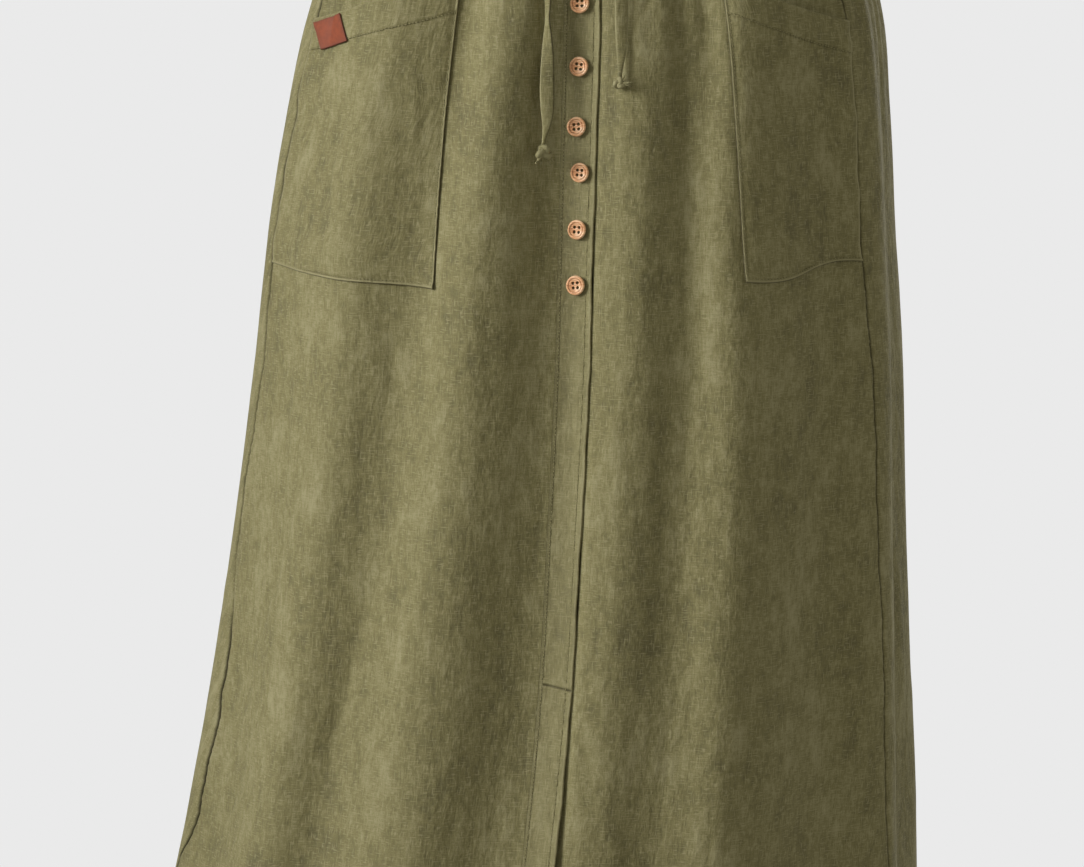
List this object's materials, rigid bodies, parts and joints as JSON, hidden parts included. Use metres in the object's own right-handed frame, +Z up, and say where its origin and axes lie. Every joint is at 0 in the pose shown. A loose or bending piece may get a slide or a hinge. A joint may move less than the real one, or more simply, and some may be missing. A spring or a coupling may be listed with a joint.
{
  "type": "midi skirt",
  "caption": "Gathered linen midi skirt with a drawstring waistband, button band, slanted patch pockets and a front slit, hanging open as worn.",
  "frame": {"origin": "centre of the waistband, halfway up it, where the wearer's waist holds the skirt", "axes": "-Y towards the front, +X towards the wearer's left, +Z up"},
  "size_m": [0.568, 0.4676, 0.8603],
  "materials": {
    "linen": "washed olive linen, slubby plain weave",
    "drawstring": "folded tape of the same linen",
    "buttons": "turned light wood, satin",
    "leather": "tan leather, blank"
  },
  "bodies": {
    "root": {"waistband": "linen", "front_right_panel": "linen", "front_left_panel": "linen", "back_panel": "linen", "button_band": "linen", "pocket_right": "linen", "pocket_left": "linen", "leather_label": "leather", "button_1": "buttons", "button_2": "buttons", "button_3": "buttons", "button_4": "buttons", "button_5": "buttons", "button_6": "buttons", "button_7": "buttons", "button_8": "buttons", "button_9": "buttons", "drawstring_right": "drawstring", "drawstring_left": "drawstring", "knot_right": "drawstring", "knot_left": "drawstring"}
  },
  "joints": []
}
